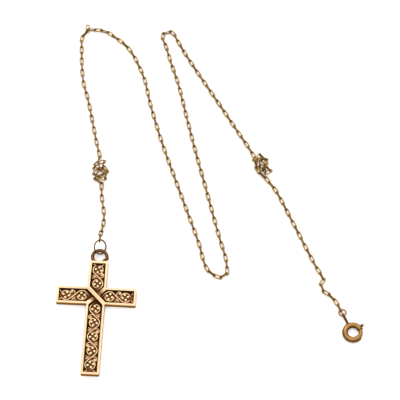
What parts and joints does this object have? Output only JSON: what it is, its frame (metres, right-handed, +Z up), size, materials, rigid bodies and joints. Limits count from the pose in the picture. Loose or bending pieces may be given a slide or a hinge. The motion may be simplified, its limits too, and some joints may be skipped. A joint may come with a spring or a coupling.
{
  "type": "cross necklace",
  "caption": "Gold cross pendant with raised scrollwork on a fine cable chain, laid open on a flat surface, with a spring ring clasp.",
  "frame": {"origin": "on the surface that the necklace lies on, under the middle of its bounding box", "axes": "+Z up from the surface, +Y away from the viewer along the chain's long runs and the cross's upright, +X to the right, from the cross to the clasp"},
  "size_m": [0.086, 0.114, 0.0041],
  "materials": {
    "frame_gold": "polished gold, dark in the recesses",
    "scroll_gold": "polished rose gold",
    "ring_gold": "polished gold",
    "chain_gold": "polished gold",
    "clasp_gold": "polished gold",
    "bolt_gold": "worn gold"
  },
  "bodies": {
    "necklace": {"cross_frame": "frame_gold", "scroll_panel_top": "scroll_gold", "scroll_panel_left": "scroll_gold", "scroll_panel_right": "scroll_gold", "scroll_panel_lower": "scroll_gold", "chain_end_ring": "ring_gold", "chain": "chain_gold", "clasp_ring": "ring_gold", "clasp_body": "clasp_gold"},
    "bolt": {"clasp_bolt": "bolt_gold"}
  },
  "joints": [
    {"name": "bolt_slide", "type": "hinge", "parent": "necklace", "child": "bolt", "pos_m": [0.03991, -0.04437, 0.0008], "axis": [0, 0, 1], "range_deg": [0, 60], "stiffness_Nm_per_rad": 0.003, "springref_deg": -17.19}
  ]
}
